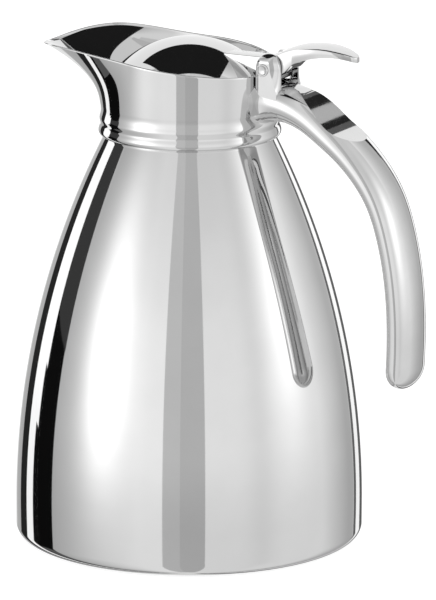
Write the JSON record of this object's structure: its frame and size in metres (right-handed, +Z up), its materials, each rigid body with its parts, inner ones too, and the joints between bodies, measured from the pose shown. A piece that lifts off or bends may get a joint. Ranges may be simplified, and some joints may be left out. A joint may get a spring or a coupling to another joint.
{
  "type": "coffee pot",
  "caption": "Double-wall coffee pot with a pointed pouring spout, an open C handle and a hinged domed lid raised by a thumb lever.",
  "frame": {"origin": "on the body's axis, at the plane the pot stands on", "axes": "+Z up along the body's axis, +X towards the handle, -X towards the spout"},
  "size_m": [0.1606, 0.13, 0.1918],
  "materials": {
    "polished_steel": "mirror polished stainless steel",
    "polished_casting": "mirror polished casting",
    "satin_steel": "satin spun steel",
    "solder": "dull",
    "silicone": "soft matte",
    "black_plastic": "fine matte moulding",
    "foam": "rigid foam"
  },
  "bodies": {
    "pot": {"outer_shell": "polished_steel", "spout_collar": "polished_steel", "handle": "polished_casting", "hinge_pin": "polished_casting", "hinge_pin_cap": "polished_casting", "outer_bottom": "satin_steel", "inner_vessel": "satin_steel", "inner_bottom": "satin_steel", "pour_funnel": "satin_steel", "base_cover": "satin_steel", "neck_ring": "satin_steel", "handle_backplate": "satin_steel", "handle_screws": "satin_steel", "vacuum_seal": "solder", "getter": "solder", "foot_ring": "silicone", "neck_gasket": "silicone", "backplate_gasket": "silicone"},
    "lid": {"lid_cover": "polished_steel", "lid_stopper": "black_plastic", "lid_insulation": "foam", "lid_seal": "silicone", "lid_screws": "satin_steel", "thumb_lever": "polished_casting", "hinge_bushes": "black_plastic"}
  },
  "joints": [
    {"name": "lid_hinge", "type": "hinge", "parent": "pot", "child": "lid", "pos_m": [0.0353, 0, 0.1825], "axis": [0, 1, 0], "range_deg": [0, 38]}
  ]
}
